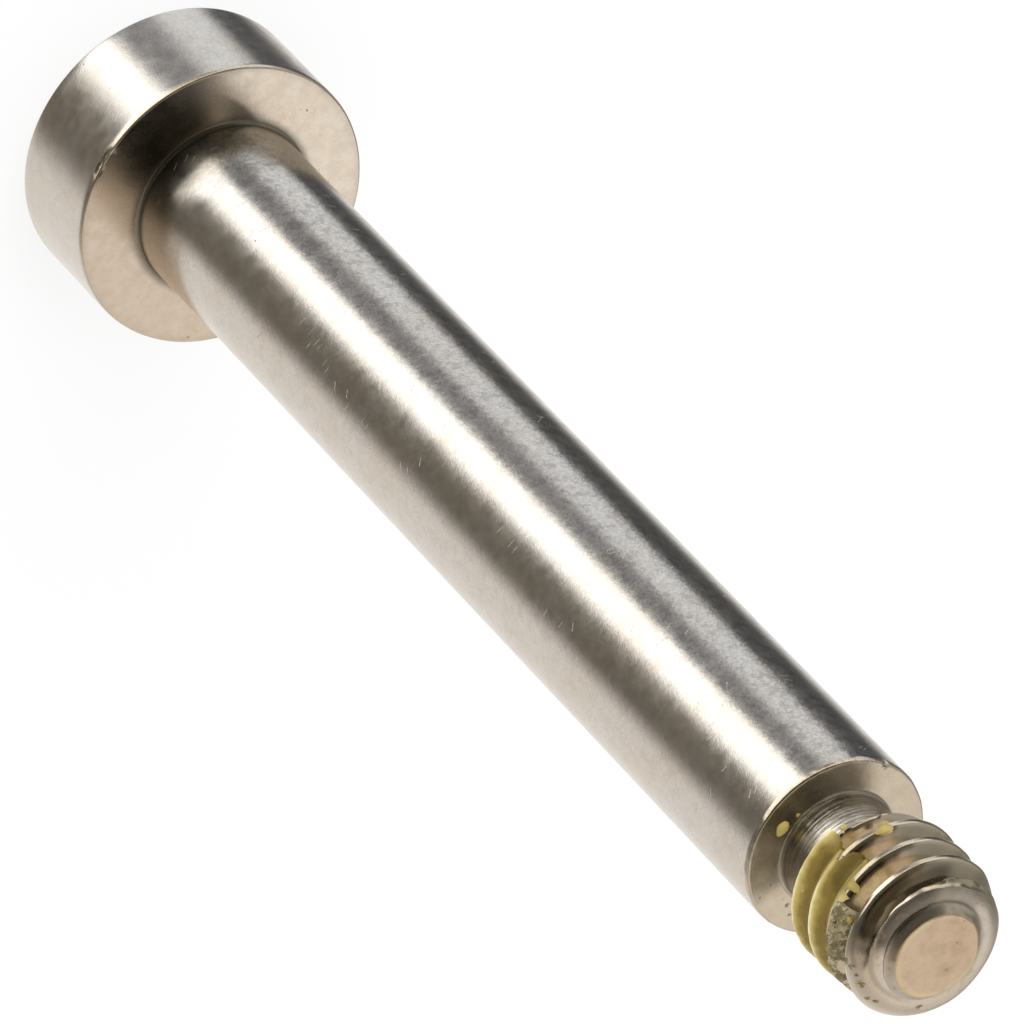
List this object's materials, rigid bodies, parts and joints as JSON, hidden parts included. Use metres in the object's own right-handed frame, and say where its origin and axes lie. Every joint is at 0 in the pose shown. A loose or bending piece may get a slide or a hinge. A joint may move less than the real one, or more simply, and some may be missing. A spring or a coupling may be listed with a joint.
{
  "type": "shoulder bolt",
  "caption": "Shoulder bolt: plain cylindrical head with a hex socket, long ground shoulder, turned neck and a short right-hand thread with a locking patch.",
  "frame": {"origin": "centre of the head's outer face, the drive face that the bolt stands on", "axes": "+Z along the bolt's axis, from the head towards the threaded end"},
  "size_m": [0.008, 0.008, 0.0399],
  "materials": {
    "bolt_steel": "bare stainless steel, ground and lightly scuffed, with fine pits and short handling scratches",
    "patch_nylon": "yellow-olive deposit, smooth and lumpy, with ragged edges"
  },
  "bodies": {
    "root": {"shoulder_bolt": "bolt_steel", "locking_patch": "patch_nylon"}
  },
  "joints": []
}
